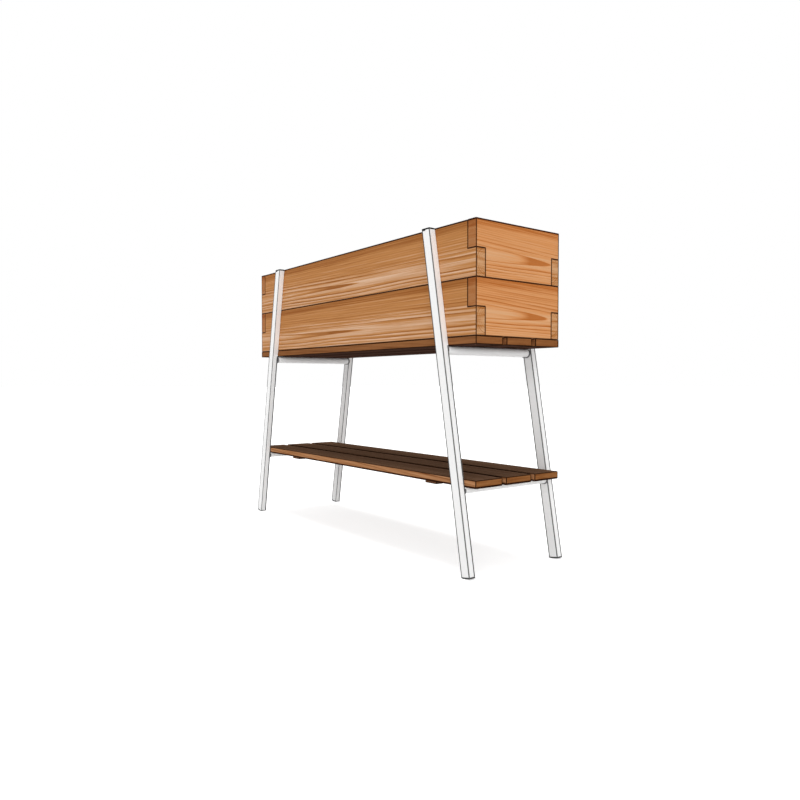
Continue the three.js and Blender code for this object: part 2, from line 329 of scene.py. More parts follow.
# Where each kind of piece was sawn from its log. The heart lies so far in from its middle and at such a
# share of its height. Seen from above it leans, and seen square on it tilts, by angles in radians. The
# rings are those to a metre.
slat_log = {"heart": (0.04, -1.0), "lean": 0.02, "tilt": 0, "rings": 330}
logs = {
    "long_board": {"heart": (0.020, 0.30), "lean": 0.0035, "tilt": 0.006, "rings": 180},
    "end_board": {"heart": (0.06, 0.37), "lean": 0.0095, "tilt": 0.030, "rings": 330},
    "base_slat": slat_log,
    "batten": {"heart": (0.03, -2.0), "lean": 0, "tilt": 0, "rings": 330},
    "shelf_slat": slat_log,
    "beech": {"heart": (0.055, 0.33), "lean": 0, "tilt": 0, "rings": 400},
}

# The noise in the wood, in cells to a metre along the log, across it and up
sway_cells = (1.3, 2.6, 2.6)
waver_cells = (2.6, 40, 40)
patch_cells = (2.0, 18, 18)
streak_cells = (2.4, 250, 250)
saw_line_cells = (2.4, 16, 230)
fibre_cells = (14, 900, 900)

# How far the heart sways, how much a ring wavers at the flame's tip and three rings from it, and how it
# darkens from early to late wood and ends
sway_reach = (0, 0.0006, 0.018)
waver_rings = (0.06, 0.34)
ring_stops = [(0.0, 0.0), (0.30, 0.08), (0.66, 0.42), (0.88, 0.92), (0.95, 1.0), (1.0, 0.0)]

# How strong the late wood is in a weak and a strong year, at the flame's tip and away from it, and in a
# pale and a dark patch, what is left of it behind the fill and on a sawn end, how pale and dark streaks
# are, and the power to which the facing's parts are raised, so that they are 1 on square faces alone
year_strength = (0.25, 0.85)
flame_strength = (0.9, 0.3)
patch_strength = (0.5, 1.2)
behind_fill = 0.3
on_sawn_end = 0.35
streak_shade = (-0.42, 0.34)
square_on = 8

# How rough early and late wood is, and how deep the grain
wood_roughness = (0.72, 0.58)
grain_depth = 0.00025

# How dark a board is from its lower edge to its upper one, as sapwood passes into heartwood, how far
# those borders sway and fray, how dark the other pieces are, and how much of the grain is left in the
# upper part, over which shares of the height it fades to that
end_board_tones = [(0.0, 0.32), (0.22, 0.28), (0.32, 0.18), (0.44, 0.20), (0.54, 0.44), (0.82, 0.50),
                   (0.88, 0.80), (0.95, 0.86), (1.0, 0.78)]
long_board_tones = [(0.0, 0.28), (0.22, 0.26), (0.32, 0.24), (0.44, 0.28), (0.54, 0.47), (0.82, 0.53),
                    (0.88, 0.80), (0.95, 0.86), (1.0, 0.78)]
border_sway = 0.04
border_fray = 0.035
even_tone = 0.30
calm_grain = 0.55
calm_from = 0.50
calm_to = 0.64

# Along a board, where its flame's tip lies, how far its fill reaches and how bold the rings near it are
flames = {
    "lower": {"tip": 0.062, "reach": 0.20, "bold": 0.9},
    "upper": {"tip": 0.055, "reach": 0.20, "bold": 0.9},
    "end": {"tip": 0.102, "reach": 0.09, "bold": 1.0},
}


class Wood(Look):
    """Sawn wood, solid through the piece, so that faces, edges and ends show one log.

    Its axes run along the grain, across the piece and up. The log's heart is an axis that runs
    nearly along the piece, and the year rings are the distance from it times the number of rings to
    a metre. As it leans, the rings run out on the outer face as flames.
    """

    def __init__(self, node, stain, seed, along, flame):
        super().__init__(node + "_wood", Specular_IOR_Level=0.0 if stain.endswith("slat") else 0.1)
        self.seed = seed
        self.flame = flame
        self.low, self.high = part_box(node)
        self.point, facing = self.place(), self.facing()
        if along == "y":
            self.low, self.high = self.low.yxz, self.high.yxz
            self.point, facing = self.swapped(self.point), self.swapped(facing)
        self.middle = (self.low + self.high) / 2
        self.rise = self.high.z - self.low.z
        self.on_end, self.on_side, self.on_level = (
            self.maths("POWER", self.maths("ABSOLUTE", part), square_on) for part in self.parts(facing))

        log = logs[stain]
        self.lean, self.rings = log["lean"], log["rings"]
        behind, share = log["heart"]
        inward = -1 if self.middle.y > 0 else 1
        tip = flame["tip"] if flame else 0
        heart = (tip, self.middle.y + inward * behind, self.low.z + share * self.rise)
        self.log = self.about(self.point, heart, (0, log["tilt"], inward * self.lean))
        self.sway = self.noise(self.log, sway_cells, seed, 2, output="Color")
        self.count = self.rings_from_tip(behind + (self.high.y - self.low.y) / 2)
        self.ring = self.ramp(self.maths("FRACT", self.count), ring_stops)
        self.streak = self.mix(self.on_end, self.noise(self.log, streak_cells, seed + 7, 4, 0.75),
                               self.noise(self.log, saw_line_cells, seed + 6, 3, 0.6))
        self.fibre = self.noise(self.log, fibre_cells, seed + 9, 3, 0.6)

    def swapped(self, vector):
        """A vector with its x and y changed over."""
        x, y, z = self.parts(vector)
        return self.vector(y, x, z)

    def rings_from_tip(self, tip_radius):
        """How many rings further out a point is than the flame's tip: the difference of their
        distances from the heart, which slow noise sways, times the rings to a metre. A waver grows
        with the count."""
        off = self.vectors("MULTIPLY", self.vectors("SUBTRACT", self.sway, (0.5, 0.5, 0.5)), sway_reach)
        swayed = self.vectors("ADD", self.log, off)
        radius = self.vectors("LENGTH", self.vectors("MULTIPLY", swayed, (0, 1, 1)))
        even = self.times(self.maths("SUBTRACT", radius, tip_radius), self.rings)
        waver = self.ranged(self.noise(self.log, waver_cells, self.seed + 3, 3), -1, 1)
        unrest = self.spread(self.maths("ABSOLUTE", even), 0, 3, *waver_rings)
        return self.maths("MULTIPLY_ADD", waver, unrest, even)

    def late_wood(self):
        """How dark the rings are. Each fades in from early wood and ends sharply in late wood, with a
        strength that is random for its year and varies in patches. Rings near the flame are bold,
        those that run on behind its fill are thin, and so are those on a sawn end."""
        year = self.add("TexWhiteNoise", noise_dimensions="1D")
        self.feed(year.inputs["W"], self.maths("ADD", self.maths("FLOOR", self.count), self.seed))
        strength = self.spread(self.maths("POWER", year.outputs["Value"], 2), 0, 1, *year_strength)
        if self.flame:
            at_tip, away = (self.flame["bold"] * part for part in flame_strength)
            near = self.spread(self.maths("ABSOLUTE", self.count), 1.5, 6, at_tip, away)
            strength = self.maths("MAXIMUM", strength, near)
        patch = self.ranged(self.noise(self.log, patch_cells, self.seed + 5, 3), *patch_strength)
        late = self.times(self.ring, strength, patch)
        if self.flame:
            behind = self.times(self.inside_flame(), self.maths("SUBTRACT", 1, self.near_tip()))
            late = self.times(late, self.spread(behind, 0, 1, 1, behind_fill))
        return self.times(late, self.spread(self.on_end, 0, 1, 1, on_sawn_end))

    def inside_flame(self):
        """1 inside the ring that makes the flame's tip."""
        return self.spread(self.count, 0.03, -0.03)

    def near_tip(self):
        """1 from the flame's tip back over three quarters of its reach, then fading to 0."""
        tip, reach = self.flame["tip"], self.flame["reach"]
        empty, full = tip - 1.7 * reach, tip - 0.75 * reach
        return self.spread(self.parts(self.point)[0], empty, full)

    def toned_by_height(self, shade, tones):
        """The shade with its grain calmed over the upper part of a board, and with the board's own
        tones from edge to edge, whose borders sway and fray along the grain."""
        up = self.parts(self.point)[2]
        calm = self.spread(up, self.low.z + calm_from * self.rise, self.low.z + calm_to * self.rise,
                           1, calm_grain)
        swaying = self.ranged(self.parts(self.sway)[1], -border_sway, border_sway)
        height = self.maths("ADD", self.spread(up, self.low.z, self.high.z), swaying)
        height = self.maths("ADD", height, self.ranged(self.streak, -border_fray, border_fray))
        return self.maths("ADD", self.times(shade, calm), self.ramp(height, tones))

    def flame_filled(self, shade):
        """The shade with the flame filled with streaked late wood behind its tip, which fades towards
        the heart, and outlined by one thin dark ring."""
        width = self.lean * self.flame["reach"] * self.rings
        inside = self.inside_flame()
        empty, full = -2.4 * width, -0.9 * width
        fill = self.times(inside, self.spread(self.count, empty, full), self.near_tip())
        outline = self.times(inside, self.spread(self.count, -0.22, -0.10, 0.0, 0.85))
        fill = self.maths("MULTIPLY_ADD", self.maths("MAXIMUM", fill, outline), 1.05, -0.25)
        return self.maths("MAXIMUM", shade, self.maths("MULTIPLY_ADD", self.streak, 0.3, fill))

    def shade_between_slats(self, row_edge):
        """1 on the sides that face each other in a row of slats, whose outer sides lie at row_edge, and 0
        near their ends, which are left unshaded: where shade between the slats is painted."""
        along, across, _ = (self.maths("ABSOLUTE", part) for part in self.parts(self.point))
        within = self.maths("LESS_THAN", across, row_edge - dark_edge)
        inner = self.spread(along, self.high.x - unshaded_end, self.high.x - shaded_from)
        return self.times(within, inner, self.on_side)

    def oil_and_joint_shade(self, drip, rim, notch):
        """1 along the edges, and round the notch that is cut out of each end, from a distance to the middle
        on and on one side of half the height. The dark edge reaches further in by drip along the lower edges
        and by rim along the upper ones. It is oil on the edges, and painted shade where they meet other
        pieces in joints."""
        gap = self.edge_gap(self.point, self.low + Vector((0, 0, drip)), self.high - Vector((0, 0, rim)))
        if notch:
            start, side = notch
            x, _, z = self.parts(self.vectors("SUBTRACT", self.point, self.middle))
            before = self.maths("MAXIMUM", self.maths("SUBTRACT", start, self.maths("ABSOLUTE", x)), 0)
            beside = self.maths("MAXIMUM", self.times(z, -side), 0)
            gap = self.maths("MINIMUM", gap, self.vectors("LENGTH", self.vector(before, beside, 0)))
        return self.spread(gap, dark_edge, 0.6 * dark_edge)

    def worn(self, corner):
        """1 beside two opposite upright corners of the box, a corner being half its length and half
        its width away from the middle, on the grain's axes."""
        x, y, _ = self.parts(self.point)
        chosen = self.maths("GREATER_THAN", self.times(x, y), 0)
        x, y, _ = self.parts(self.vectors("SUBTRACT", (*corner, 0), self.vectors("ABSOLUTE", self.point)))
        near = self.spread(self.maths("MAXIMUM", x, y), worn_corner, 0.85 * worn_corner)
        return self.times(near, chosen)


def dress_wood(node, stain, seed, along="x", flame=None, tones=None, row_edge=None, drip=0.0, rim=0.0,
               notch=None, corner=None):
    """Gives a wooden node its finish, from its log to its stain, the oil and wear on it, and the painted
    shade in its joints, on its level faces and between slats. Its tones run over its height where they are
    given."""
    wood = Wood(node, stain, seed, along, flame)
    late = wood.late_wood()
    shade = wood.maths("ADD", late, wood.ranged(wood.streak, *streak_shade))
    shade = wood.toned_by_height(shade, tones) if tones else wood.maths("ADD", shade, even_tone)
    if flame:
        shade = wood.flame_filled(shade)

    pale, middling, dark = stains[stain]["tones"]
    colour = wood.ramp(shade, [(0.0, pale), (0.5, middling), (1.0, dark)])
    colour = wood.mix(1.0, colour, wood.ramp(wood.fibre, [(0.25, 0.84), (0.75, 1.0)]), "MULTIPLY")
    colour = wood.dim(wood.on_end, colour, stains[stain]["end"])
    # Tops and undersides are darkened as painted shade
    if "level" in stains[stain]:
        colour = wood.dim(wood.on_level, colour, stains[stain]["level"])
    # Painted shade on the slats' sides that face each other
    if row_edge:
        colour = wood.dim(wood.shade_between_slats(row_edge), colour, painted_gap_shade)
    edge = wood.oil_and_joint_shade(drip, rim, notch)
    if corner:
        edge = wood.maths("MAXIMUM", edge, wood.worn(corner))
    # Dark edges: oil, and painted shade where pieces meet in joints
    wood.colour(wood.dim(edge, colour, edge_oil_and_shade))
    rough = wood.spread(wood.maths("ADD", late, wood.fibre), 0.2, 1.4, *wood_roughness)
    wood.roughness(wood.maths("MAXIMUM", edge, rough))
    relief = wood.maths("MULTIPLY_ADD", wood.fibre, 0.6, wood.times(wood.ring, 0.4))
    wood.bump(relief, grain_depth, 0.5)
    dress(node, wood.material)


# --- Metal, plastic and cloth ---

def powder_coat(name):
    """White powder coat with a fine orange peel."""
    look = Look(name, Specular_IOR_Level=0.15)
    place = look.place()
    cloud = look.noise(place, 9, 1, 2)
    peel = look.noise(place, 650, 2, 2)
    look.colour(look.mottle(cloud, (0.925, 0.925, 0.923), (0.950, 0.950, 0.948)))
    look.roughness(look.ranged(peel, 0.40, 0.48))
    look.bump(peel, 0.00006, 0.6)
    return look


def coated_leg(face, side):
    """The powder coat of one leg, rubbed dark on the tube's corners and at its mitred top.

    A point's distance from the nearest corner is the larger of its distances to the two pairs of
    faces. Two opposite corners are rubbed over more of their width, and a corner that lies against
    the box keeps its coat.
    """
    look = powder_coat(f"white_powder_coat_{face}_{side}")
    low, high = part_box(f"leg_{face}_{side}")
    across = look.about(look.place(), (low + high) / 2, (0, -ends[side] * leg_lean, 0))
    x, y, _ = look.parts(across)
    heavy = look.maths("GREATER_THAN", look.times(x, y), 0)
    inner = look.maths("LESS_THAN", look.times(y, faces[face]), 0)
    height = look.parts(look.place())[2]
    by_box = look.maths("GREATER_THAN", height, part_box("base_slat_middle")[0].z)
    x, y, _ = look.parts(look.vectors("SUBTRACT", (leg_width / 2, leg_depth / 2, 0),
                                      look.vectors("ABSOLUTE", across)))
    below_cap = look.maths("ADD", look.maths("SUBTRACT", high.z, height), leg_corner)
    gap = look.maths("MINIMUM", look.maths("MAXIMUM", x, y), below_cap)
    reach = look.maths("DIVIDE", gap, wear_reach)
    kept = look.mix(heavy, look.ramp(reach, light_wear), look.ramp(reach, heavy_wear))
    kept = look.maths("MAXIMUM", kept, look.times(inner, by_box))
    look.colour(look.mix(1.0, look.own_colour, kept, "MULTIPLY"))
    return look.material


def moulded(name, dark, light, roughness):
    """Moulded plastic with the fine grain of a spark-eroded tool."""
    look = Look(name, Specular_IOR_Level=0.05)
    place = look.place()
    grain = look.noise(place, 2200, 4, 3)
    cloud = look.noise(place, 60, 5, 2)
    both = look.maths("MULTIPLY_ADD", grain, 0.5, look.times(cloud, 0.5))
    look.colour(look.mottle(both, dark, light))
    look.roughness(look.ranged(grain, roughness - 0.06, roughness + 0.06))
    look.bump(grain, 0.00008, 0.7)
    return look


def scuffed_foot(side):
    """The white plastic of one side's feet, scuffed dark round the bottom.

    The height of a point is the lesser of two: over the floor, and along the leaning leg from the
    foot's lowest point on it.
    """
    look = moulded(f"white_moulded_foot_{side}", (0.86, 0.86, 0.855), (0.90, 0.90, 0.895), 0.5)
    turn = ends[side] * leg_lean
    leg_line = np.array([-math.sin(turn), 0, math.cos(turn)])
    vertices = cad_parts[f"foot_front_{side}"].data.vertices
    points = np.empty(3 * len(vertices))
    vertices.foreach_get("co", points)
    lowest = (points.reshape(-1, 3) @ leg_line).min()
    place = look.place()
    height = look.maths("SUBTRACT", look.vectors("DOT_PRODUCT", place, leg_line), lowest)
    height = look.maths("MINIMUM", height, look.parts(place)[2])
    scuff = look.spread(height, 1.2 * foot_scuff, 0.8 * foot_scuff)
    look.colour(look.mix(scuff, look.own_colour, scuff_colour))
    return look.material


def plate(name, dark, light, metallic=0.0, specular=0.5, roughness=0.37):
    """Plated steel, with faint clouds and the fine lines of a drawn wire."""
    look = Look(name, Metallic=metallic, Specular_IOR_Level=specular)
    place = look.place()
    cloud = look.noise(place, 260, 6, 3)
    line = look.noise(place, (3000, 3000, 300), 7, 2)
    look.colour(look.mottle(cloud, dark, light))
    look.roughness(look.ranged(line, roughness - 0.09, roughness + 0.09))
    look.bump(line, 0.00002, 0.5)
    return look.material


def fleece(name):
    """Needled fleece: matted dark fibres, with scattered paler ones and small dimples."""
    look = Look(name, Roughness=0.95, Specular_IOR_Level=0.15, Sheen_Weight=0.35, Sheen_Roughness=0.5)
    place = look.place()
    bend = look.noise(place, 180, 8, 2, output="Color")
    bent = look.vectors("ADD", place, look.vectors("MULTIPLY", bend, (0.012, 0.012, 0.012)))
    mat = look.noise(bent, (900, 260, 260), 9, 4, 0.65)
    hair = look.noise(bent, (160, 1900, 1900), 10, 2)
    dimple = look.noise(place, 420, 11, 1)
    colour = look.mottle(mat, (0.012, 0.013, 0.015), (0.040, 0.042, 0.045))
    look.colour(look.mix(look.ramp(hair, [(0.62, 0.0), (0.70, 0.5)]), colour, (0.16, 0.165, 0.17)))
    look.bump(look.maths("ADD", mat, look.times(dimple, 0.8)), 0.0009, 0.8)
    return look.material


def thread(name):
    """Spun polyester thread, flecked pale and dark."""
    look = Look(name, Roughness=0.7, Specular_IOR_Level=0.25)
    ply = look.noise(look.place(), 2600, 12, 2)
    look.colour(look.mottle(ply, (0.075, 0.078, 0.082), (0.15, 0.155, 0.16)))
    look.bump(ply, 0.0001, 0.6)
    return look.material


coat = powder_coat("white_powder_coat").material
black_cap = moulded("black_moulded_cap", (0.004, 0.004, 0.0045), (0.010, 0.010, 0.011), 0.6).material
white_foot = {side: scuffed_foot(side) for side in ends}
zinc = plate("bright_zinc", (0.50, 0.51, 0.53), (0.68, 0.69, 0.70), metallic=0.92)
black_zinc = plate("black_zinc", (0.020, 0.014, 0.010), (0.040, 0.026, 0.018), specular=0.0, roughness=0.8)
weld_zinc = plate("sprayed_weld", (0.12, 0.12, 0.125), (0.20, 0.20, 0.205), specular=0.1, roughness=0.7)
felt = fleece("needled_fleece")
seam_thread = thread("polyester_thread")


# --- Surfaces ---

def grid_faces(count_u, count_v, closed_u=False, closed_v=False):
    """The four-sided faces of a grid of count_u by count_v points, laid out row by row."""
    u = np.arange(count_u if closed_u else count_u - 1)
    v = np.arange(count_v if closed_v else count_v - 1)
    a, b = np.meshgrid(u, v, indexing="ij")
    next_a, next_b = (a + 1) % count_u, (b + 1) % count_v
    corners = (a * count_v + b, next_a * count_v + b, next_a * count_v + next_b, a * count_v + next_b)
    return np.stack([c.ravel() for c in corners], axis=1)


def repeated(points, polygons, copies):
    """The faces of so many copies of one grid, whose points follow each other."""
    steps = np.arange(copies)[:, None, None] * points
    return (polygons[None] + steps).reshape(-1, polygons.shape[1])


def surface(name, points, polygons, finish, closed=True, sharp_over=piece_crease):
    """A piece made of points and faces, with merged doubles, edges over an angle left sharp and the
    others smooth. A closed one has its normals turned out. It rides on the one body."""
    mesh = bpy.data.meshes.new(name)
    mesh.from_pydata(points.reshape(-1, 3).tolist(), [], polygons.tolist())
    shape = bmesh.new()
    shape.from_mesh(mesh)
    bmesh.ops.remove_doubles(shape, verts=shape.verts, dist=same_point)
    if closed:
        bmesh.ops.recalc_face_normals(shape, faces=shape.faces)
    shape.to_mesh(mesh)
    shape.free()
    mesh.shade_smooth()
    mesh.set_sharp_from_angle(angle=math.radians(sharp_over))
    mesh.materials.append(finish)
    piece = bpy.data.objects.new(name, mesh)
    bpy.context.scene.collection.objects.link(piece)
    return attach(piece, "root")


def rounded_loop(half_x, half_y, radius, count):
    """Points at equal steps round a rectangle with round corners, from the middle of its right side,
    as an array of x and y. Each corner is a quarter circle about its own centre."""
    turn = np.linspace(0, np.pi / 2, 13)
    arcs = [(np.array([to_x, to_y]) * (half_x - radius, half_y - radius)
             + radius * np.stack([np.cos(turn + first), np.sin(turn + first)], 1))
            for first, to_x, to_y in ((0, 1, 1), (np.pi / 2, -1, 1), (np.pi, -1, -1), (1.5 * np.pi, 1, -1))]
    line = np.concatenate([[(half_x, 0)], *arcs, [(half_x, 0)]])
    along = np.concatenate([[0], np.cumsum(np.linalg.norm(np.diff(line, axis=0), axis=1))])
    steps = np.arange(count) / count * along[-1]
    return np.stack([np.interp(steps, along, line[:, 0]), np.interp(steps, along, line[:, 1])], 1)


def waves(seed, u, v, reach_u, reach_v, count=9):
    """Slow random folds: a sum of cosines whose numbers of turns over u and v, both from 0 to 1, and
    phases are drawn at random, brought to run from 0 to 1."""
    draw = np.random.default_rng(seed)
    total = np.zeros(np.broadcast(u, v).shape)
    for _ in range(count):
        turns_u = draw.integers(1, reach_u + 1)
        turns_v = draw.uniform(-reach_v, reach_v)
        total += np.cos(2 * np.pi * (turns_u * u + turns_v * v + draw.uniform())) / math.sqrt(turns_u)
    return (total - total.min()) / (total.max() - total.min())


# --- Welds and screws ---

def weld_bead(bar, side, face):
    """The zinc-sprayed fillet weld round the sides and the underside of a crossbar, where it meets a leg.

    Its path is the bar's oval section below the timber, and its profile is a circle that swells and
    thins with each dab of weld and tapers off at both ends.
    """
    low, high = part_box(f"{bar}_crossbar_{side}")
    timber_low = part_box(f"{'base' if bar == 'upper' else 'shelf'}_slat_middle")[0].z
    middle = (low + high) / 2
    flat = (bar_width - bar_height) / 2
    radius = bar_height / 2
    clear = 1.2 * bead_radius
    sunk = 0.2 * bead_radius
    top = math.asin(min(1, (timber_low - clear - middle.z) / radius))
    turn = np.linspace(top, -np.pi - top, 72)
    across = np.cos(turn) * radius + np.sign(np.cos(turn)) * flat
    upright = np.sin(turn) * radius
    share = np.linspace(0, 1, turn.size)
    swell = 1 + bead_ripple * np.cos(2 * np.pi * bead_scallops * share)
    taper = np.sqrt(np.clip(1 - (2 * share - 1) ** 10, 0, 1))
    thickness = bead_radius * swell * taper
    ring = np.linspace(0, 2 * np.pi, 12, endpoint=False)
    outward = thickness[:, None] * np.cos(ring)
    along = faces[face] * thickness[:, None] * np.sin(ring)
    x = middle.x + across[:, None] + outward * np.cos(turn)[:, None]
    y = faces[face] * (high.y - sunk) + along
    z = middle.z + upright[:, None] + outward * np.sin(turn)[:, None]
    return surface(f"{bar}_weld_{face}_{side}", np.stack([x, y, z], 2),
                   grid_faces(turn.size, ring.size, closed_v=True), weld_zinc)


def screw_heads(name, places, radius, height, finish):
    """Screw heads that point down, at places on flat undersides.

    Each is a low dome with a flat back, its depth a function of the distance from the axis and the
    angle. A cross recess is cut where the angle lies near one of four arms.
    """
    reach = np.array([0, 0.12, 0.24, 0.36, 0.48, 0.58, 0.66, 0.80, 0.92, 1.0, 1.0])
    angle = np.linspace(0, 2 * np.pi, 32, endpoint=False)
    dome = height * np.sqrt(np.clip(1 - (dome_share * reach) ** 4, 0, 1))
    dome[-1] = 0
    off_arm = np.abs(np.sin(2 * angle))
    arm = np.clip((recess_arm / np.maximum(reach[:, None], 0.05) - off_arm) * 4, 0, 1)
    inside = np.clip((recess_reach - reach[:, None]) * 12, 0, 1)
    depth = dome[:, None] - np.minimum(recess_depth, 0.85 * height) * arm * inside
    x = radius * reach[:, None] * np.cos(angle)
    y = radius * reach[:, None] * np.sin(angle)
    head = np.stack([x, y, -depth], 2)
    base = np.stack([x[-1] * 0.6, y[-1] * 0.6, np.zeros(angle.size)], 1)[None]
    head = np.concatenate([head, base, base * (0, 0, 1)])
    points = head[None] + np.asarray(places)[:, None, None, :]
    one = grid_faces(head.shape[0], angle.size, closed_v=True)
    return surface(name, points, repeated(head.shape[0] * angle.size, one, len(places)), finish)


def halfway(node, axis):
    """Where the middle of a node's box lies along x, which is 0, or y, which is 1."""
    low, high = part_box(node)
    return (low[axis] + high[axis]) / 2


def add_fixings():
    """The welds of the crossbars, and the screws that go up through crossbars, battens and base."""
    for bar in bars:
        for side in ends:
            for face in faces:
                weld_bead(bar, side, face)
    slat_y = [halfway(f"base_slat_{row}", 1) for row in rows]
    bar_places, batten_places = [], []
    for side in ends:
        for bar in bars:
            name = f"{bar}_crossbar_{side}"
            bar_places += [(halfway(name, 0), y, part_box(name)[0].z) for y in slat_y]
        name = f"shelf_batten_{side}"
        batten_places += [(halfway(name, 0) + sign * batten_screws_apart / 2, y * batten_screws_inset,
                           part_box(name)[0].z) for y in slat_y for sign in (-1, 1)]
    screw_heads("crossbar_screws", bar_places, flat_radius, flat_height, coat)
    screw_heads("batten_screws", batten_places, pan_radius, pan_height, zinc)

    low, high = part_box("base_slat_front")
    board_y = halfway("lower_front_board", 1)
    end_x = halfway("lower_right_end_board", 0)
    along = np.linspace(base_screws_reach * low.x, base_screws_reach * high.x, base_screws_along)
    base_places = [(x, sign * board_y, low.z) for x in along for sign in (-1, 1)]
    base_places += [(end * end_x, y + sign * base_screws_apart / 2, low.z)
                    for end in (-1, 1) for y in slat_y for sign in (-1, 1)]
    screw_heads("base_screws", base_places, flat_radius, flat_height, black_zinc)


# --- Liner ---

class Rim:
    """The loop round the inside of the box that the liner and its hem follow, as points at equal
    steps, and each point's way in towards the box's middle line."""

    def __init__(self, count):
        low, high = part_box("liner")
        self.half_x, self.half_y, self.low, self.top = high.x, high.y, low.z, high.z
        self.loop = rounded_loop(self.half_x, self.half_y, fleece_corner, count)
        self.share = np.arange(count) / count
        reach = self.half_x - self.half_y
        middle = np.stack([np.clip(self.loop[:, 0], -reach, reach), np.zeros(count)], 1)
        self.length = np.linalg.norm(middle - self.loop, axis=1)
        self.way = (middle - self.loop) / self.length[:, None]

    def at(self, distance, z):
        """Points at distances in from the loop and at heights, both arrays of rows by points."""
        distance, z = np.broadcast_arrays(distance, z)
        flat = self.loop + self.way * distance[..., None]
        return np.concatenate([flat, z[..., None]], axis=-1)


def fleece_liner():
    """The liner: one skin of fleece, down the walls, round the fold and over the floor.

    Each row of the grid is the rim's loop, lowered, and moved in towards the box's middle line. The
    walls bulge in by slow random folds that die out at the hem, the fold is a quarter circle, and
    the floor lifts in shallow ripples.
    """
    rim = Rim(rim_steps)
    wall_low = rim.low + fleece_fold
    fall = np.linspace(0, 1, wall_rows)[:, None]
    wall_z = rim.top + (wall_low - rim.top) * fall
    slack = np.clip((rim.top - wall_z - hem_depth) / slack_run, 0, 1) * (1 - 0.75 * fall ** 3)
    bulge = wall_bulge * slack * waves(5, rim.share, fall, 26, 1.6)
    turn = np.linspace(0, np.pi / 2, fold_rows)[1:, None]
    fold = bulge[-1] * np.cos(turn) + fleece_fold * (1 - np.cos(turn))
    share = np.linspace(0, 1, floor_rows)[1:, None]
    floor = rim.at(fleece_fold + (rim.length - fleece_fold) * share, rim.low)
    lift = waves(8, floor[..., 0] / rim.half_x / 2 + 0.5, floor[..., 1] / rim.half_y / 2 + 0.5, 9, 2)
    floor[..., 2] += floor_ripple * np.minimum(1, 4 * share) * lift
    fold_z = wall_low - fleece_fold * np.sin(turn)
    points = np.concatenate([rim.at(bulge, wall_z), rim.at(fold, fold_z), floor])
    skin = surface("fleece_liner", points, grid_faces(*points.shape[:2], closed_v=True), felt,
                   closed=False, sharp_over=180)
    wall = skin.modifiers.new("thickness", "SOLIDIFY")
    wall.thickness = fleece_thickness
    wall.offset = -1
    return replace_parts(skin, "liner")


def fleece_hem():
    """The hem: the fleece turned down inside the rim, a flat strip whose lower edge wanders a little.
    Its section, a share of the way in and a depth below the rim, is carried round the loop."""
    rim = Rim(rim_steps)
    section = np.array([(0.0, 0.0025), (0.0, 0.0012), (0.12, 0.0003), (0.33, 0), (0.7, 0), (0.9, 0.0004),
                        (1.0, 0.0013), (1.0, hem_depth - 0.0012), (0.94, hem_depth - 0.0003),
                        (0.85, hem_depth), (0.53, hem_depth), (0.5, hem_depth - 0.002), (0.5, 0.0025)])
    wander = hem_wander * (waves(11, rim.share, 0, 40, 0) - 0.5)
    drop = section[:, 1:] + wander * (section[:, 1:] > 0.5 * hem_depth)
    points = rim.at(hem_proud * section[:, :1], rim.top - drop)
    return surface("liner_hem", points, grid_faces(*points.shape[:2], closed_u=True, closed_v=True), felt)


def bars_on_hem(name, pitch, length, radius, drop, dip, finish):
    """Short bars along the hem, at equal steps and so far below the rim: stitches or staples.

    Each is a round bar whose middle bows out of the cloth and whose ends sink into it by dip, its
    radius falling to nothing at both ends.
    """
    rim = Rim(fine_rim_steps)
    around = np.linalg.norm(np.roll(rim.loop, -1, axis=0) - rim.loop, axis=1).sum()
    count = int(around / pitch)
    at = (np.arange(count) + 0.5) / count
    share = np.linspace(-1, 1, 7)
    ring = np.linspace(0, 2 * np.pi, 6, endpoint=False)
    thickness = radius * np.sqrt(np.clip(1 - share ** 8, 0, 1))
    steps = (at[:, None] + share * length / 2 / around) % 1
    index = np.round(steps * len(rim.loop)).astype(int) % len(rim.loop)
    out = hem_proud + radius * 0.4 - dip * share ** 4
    distance = out[None, :, None] + (thickness[:, None] * np.cos(ring))[None]
    z = rim.top - drop + (thickness[:, None] * np.sin(ring))[None] + np.zeros((count, 1, 1))
    flat = rim.loop[index][:, :, None] + rim.way[index][:, :, None] * distance[..., None]
    points = np.concatenate([flat, z[..., None]], axis=-1)
    one = grid_faces(share.size, ring.size, closed_v=True)
    return surface(name, points, repeated(share.size * ring.size, one, count), finish)


def add_liner():
    """The fleece, shaped as a tray, with its hem, stitches and staples."""
    skin = fleece_liner()
    hem = fleece_hem()
    stitches = bars_on_hem("liner_hem_stitching", stitch_pitch, stitch_length, stitch_radius, stitch_drop,
                           stitch_dip, seam_thread)
    staples = bars_on_hem("liner_staples", staple_pitch, staple_width, staple_wire, staple_drop,
                          staple_dip, zinc)


# --- The nodes' own finish ---

